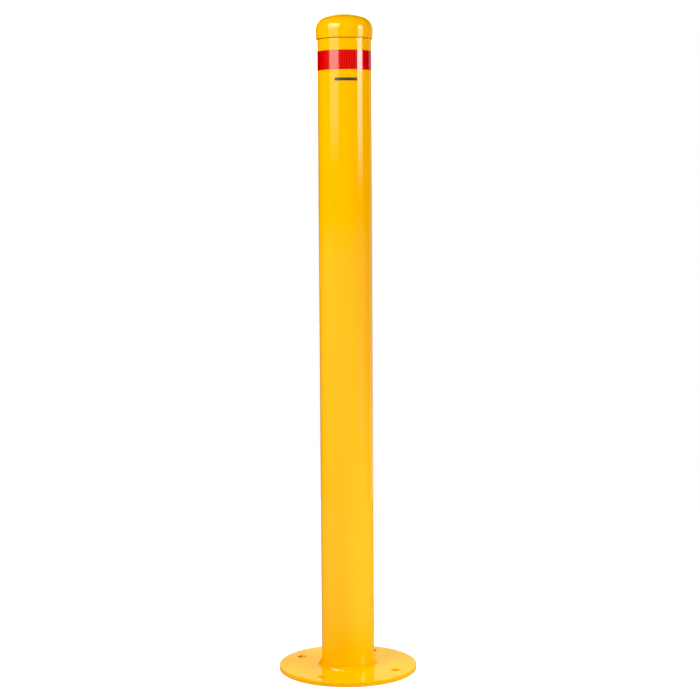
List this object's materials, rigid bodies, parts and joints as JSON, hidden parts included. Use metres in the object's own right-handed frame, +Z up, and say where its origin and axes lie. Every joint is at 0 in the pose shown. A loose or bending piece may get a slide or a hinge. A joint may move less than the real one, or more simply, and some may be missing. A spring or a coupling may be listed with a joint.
{
  "type": "safety bollard",
  "caption": "Bolt-down round steel safety bollard: a tall post welded to a round base plate, with a slip-on domed cap and a red reflective band.",
  "frame": {"origin": "centre of the base plate's underside, where the bollard stands on the floor", "axes": "+Z up the post along its axis; -Y is the front, the side that carries the label; +X is to the right seen from the front"},
  "size_m": [0.233, 0.233, 1.1],
  "materials": {
    "powder_coat": "glossy yellow powder coat on steel",
    "cap_plastic": "glossy yellow moulded plastic",
    "reflective_sheeting": "red prismatic retroreflective sheeting with a clear glossy top film",
    "label_film": "thin dark self-adhesive film, left blank"
  },
  "bodies": {
    "post": {"base_plate": "powder_coat", "post_tube": "powder_coat", "base_weld": "powder_coat", "reflective_band": "reflective_sheeting", "blank_label": "label_film"},
    "cap": {"post_cap": "cap_plastic"}
  },
  "joints": [
    {"name": "cap_lift", "type": "slide", "parent": "post", "child": "cap", "axis": [0, 0, 1], "range_m": [0, 0.1]}
  ]
}
